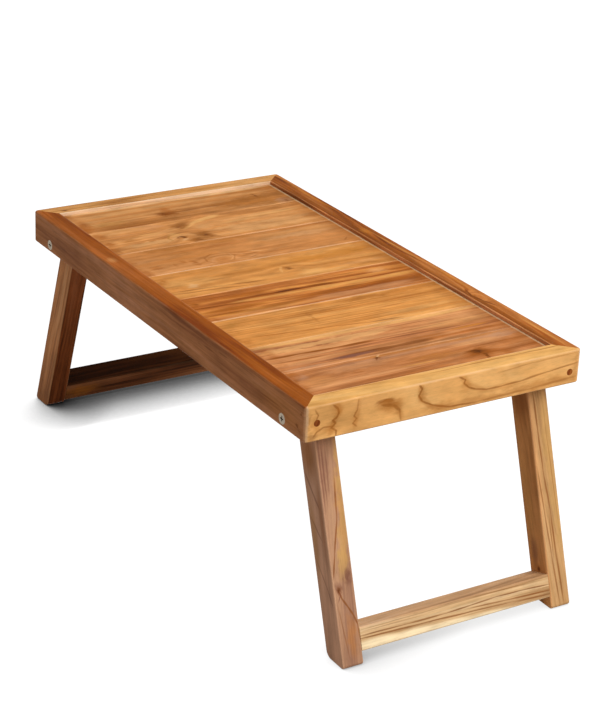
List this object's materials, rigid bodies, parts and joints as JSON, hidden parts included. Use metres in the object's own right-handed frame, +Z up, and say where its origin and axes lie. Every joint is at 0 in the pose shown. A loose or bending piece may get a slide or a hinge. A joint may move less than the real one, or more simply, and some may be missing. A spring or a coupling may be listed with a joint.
{
  "type": "folding lap desk",
  "caption": "Folding wooden lap desk: a mitred tray with a recessed boarded deck on splayed leg frames that pivot at the side rails and fold flat underneath.",
  "frame": {"origin": "on the floor under the middle of the tray, with the desk standing open", "axes": "+X along the long side towards the near end of the picture, +Y across the tray to the back side rail, +Z up"},
  "size_m": [0.6476, 0.3, 0.2425],
  "materials": {
    "side_rail_wood": "satin oiled teak, reddish brown",
    "end_rail_wood": "satin oiled teak, golden honey with dark figure",
    "deck_wood": "satin oiled teak, boards of differing tone",
    "leg_wood": "satin oiled teak, tan with dark grain",
    "stretcher_wood": "satin oiled teak with a pale sapwood edge",
    "plug_wood": "dark reddish end grain",
    "screw_steel": "nickel plated steel",
    "washer_plastic": "natural nylon"
  },
  "bodies": {
    "tray": {"front_side_rail": "side_rail_wood", "back_side_rail": "side_rail_wood", "near_end_rail": "end_rail_wood", "far_end_rail": "end_rail_wood", "deck_board_1": "deck_wood", "deck_board_2": "deck_wood", "deck_board_3": "deck_wood", "deck_board_4": "deck_wood", "deck_board_5": "deck_wood", "deck_board_6": "deck_wood", "deck_board_7": "deck_wood", "deck_board_8": "deck_wood", "corner_screws": "screw_steel", "corner_plugs": "plug_wood"},
    "near_leg_frame": {"near_front_leg": "leg_wood", "near_back_leg": "leg_wood", "near_stretcher": "stretcher_wood", "near_pivot_screws": "screw_steel", "near_pivot_washers": "washer_plastic"},
    "far_leg_frame": {"far_front_leg": "leg_wood", "far_back_leg": "leg_wood", "far_stretcher": "stretcher_wood", "far_pivot_screws": "screw_steel", "far_pivot_washers": "washer_plastic"}
  },
  "joints": [
    {"name": "near_leg_fold", "type": "hinge", "parent": "tray", "child": "near_leg_frame", "pos_m": [0.238, 0, 0.2162], "axis": [0, 1, 0], "range_deg": [0, 108.6]},
    {"name": "far_leg_fold", "type": "hinge", "parent": "tray", "child": "far_leg_frame", "pos_m": [-0.238, 0, 0.2162], "axis": [0, -1, 0], "range_deg": [0, 108.6]}
  ]
}
